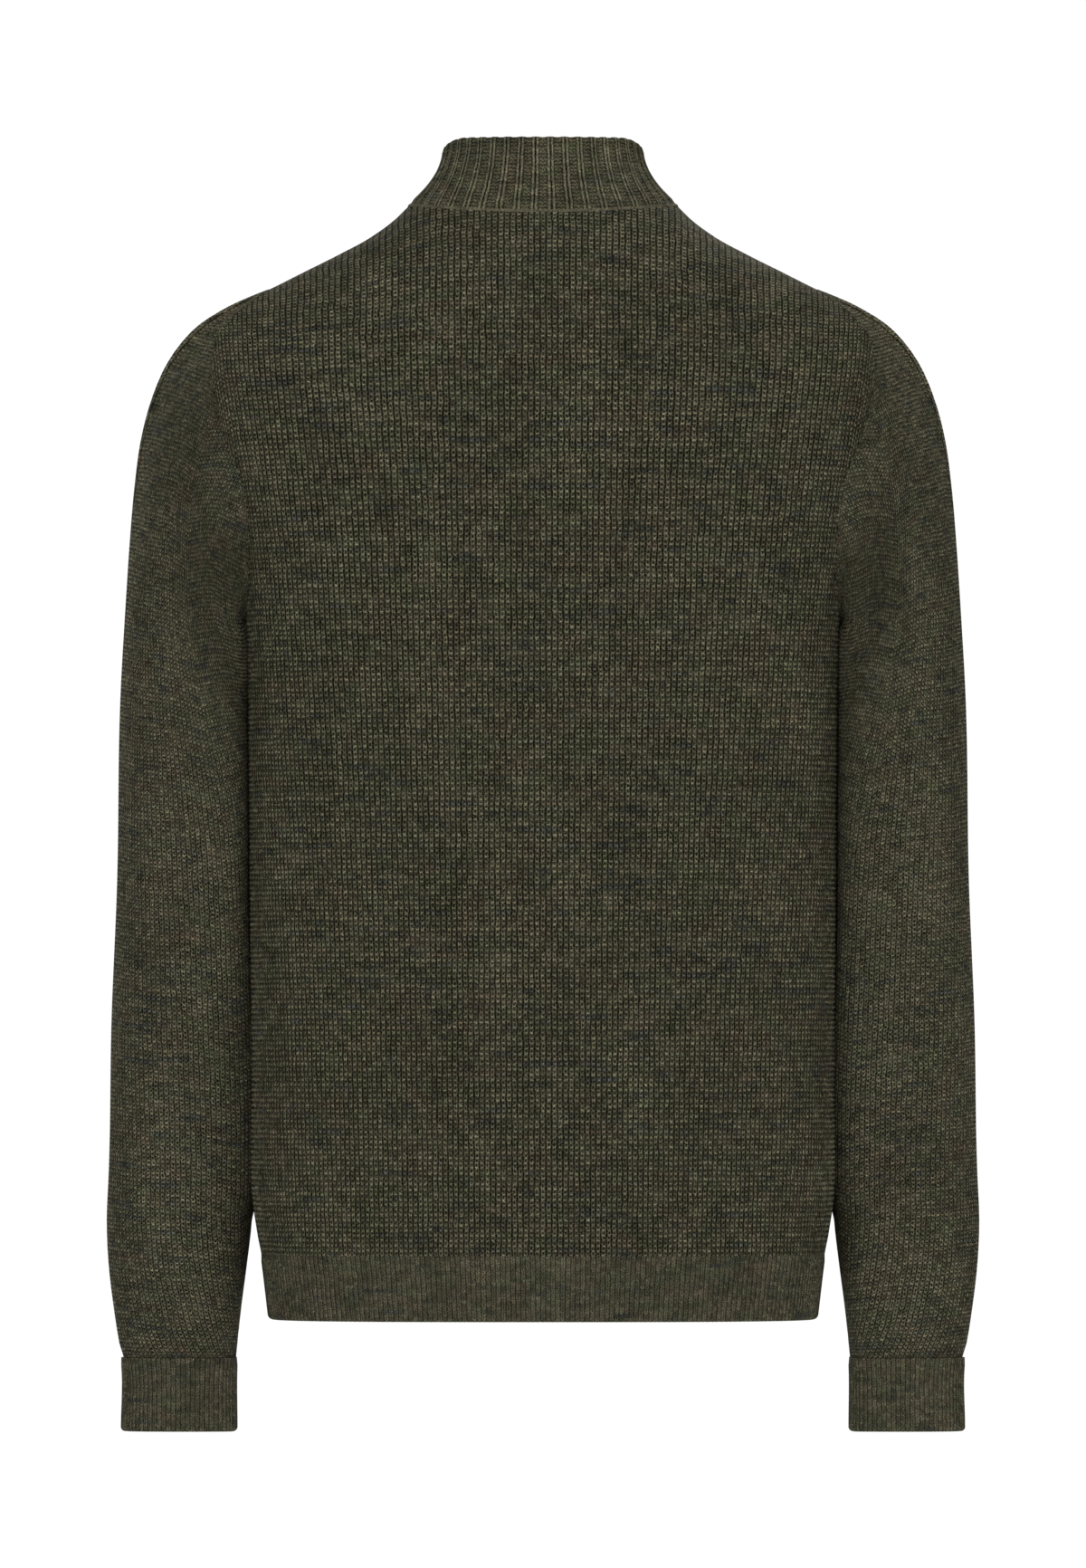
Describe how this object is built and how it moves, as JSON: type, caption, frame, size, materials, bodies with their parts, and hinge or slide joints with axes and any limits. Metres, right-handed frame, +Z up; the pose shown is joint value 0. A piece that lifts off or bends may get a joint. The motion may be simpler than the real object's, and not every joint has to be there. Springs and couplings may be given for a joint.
{
  "type": "cardigan",
  "caption": "Worn, hollow men's knitted cardigan with set-in sleeves, a standing rib collar, rib hem and cuffs, and a full-length front zip.",
  "frame": {"origin": "middle of the neck opening, level with the collar seam at the back of the neck, where the wearer's shoulders hold the garment", "axes": "+Z up; -Y the way the wearer faces, so the zip is at -Y and the back panel at +Y; +X to the wearer's left"},
  "size_m": [0.5394, 0.2371, 0.8019],
  "materials": {
    "half_cardigan_knit": "half cardigan stitch in olive melange wool yarn with dark blue-grey and brown flecks",
    "plain_knit": "plain knit in the same melange yarn",
    "welt_rib": "fine 1x1 rib in the same melange yarn",
    "collar_rib": "2x2 rib in the same melange yarn",
    "zip_tape": "dark olive woven herringbone tape",
    "zip_metal": "dark gunmetal"
  },
  "bodies": {
    "garment": {"back": "half_cardigan_knit", "front_left": "half_cardigan_knit", "front_right": "half_cardigan_knit", "sleeve_left": "plain_knit", "sleeve_right": "plain_knit", "cuff_left": "welt_rib", "cuff_right": "welt_rib", "hem_rib_back": "welt_rib", "hem_rib_front_left": "welt_rib", "hem_rib_front_right": "welt_rib", "collar": "collar_rib", "zip_tape_left": "zip_tape", "zip_tape_right": "zip_tape", "zip_teeth_left": "zip_metal", "zip_teeth_right": "zip_metal", "zip_slider": "zip_metal", "zip_box": "zip_metal", "zip_stop_left": "zip_metal", "zip_stop_right": "zip_metal"},
    "pull_tab": {"zip_pull_tab": "zip_metal"}
  },
  "joints": [
    {"name": "pull_tab_hinge", "type": "hinge", "parent": "garment", "child": "pull_tab", "pos_m": [0, -0.07868, -0.00861], "axis": [-1, 0, 0], "range_deg": [0, 170]}
  ]
}
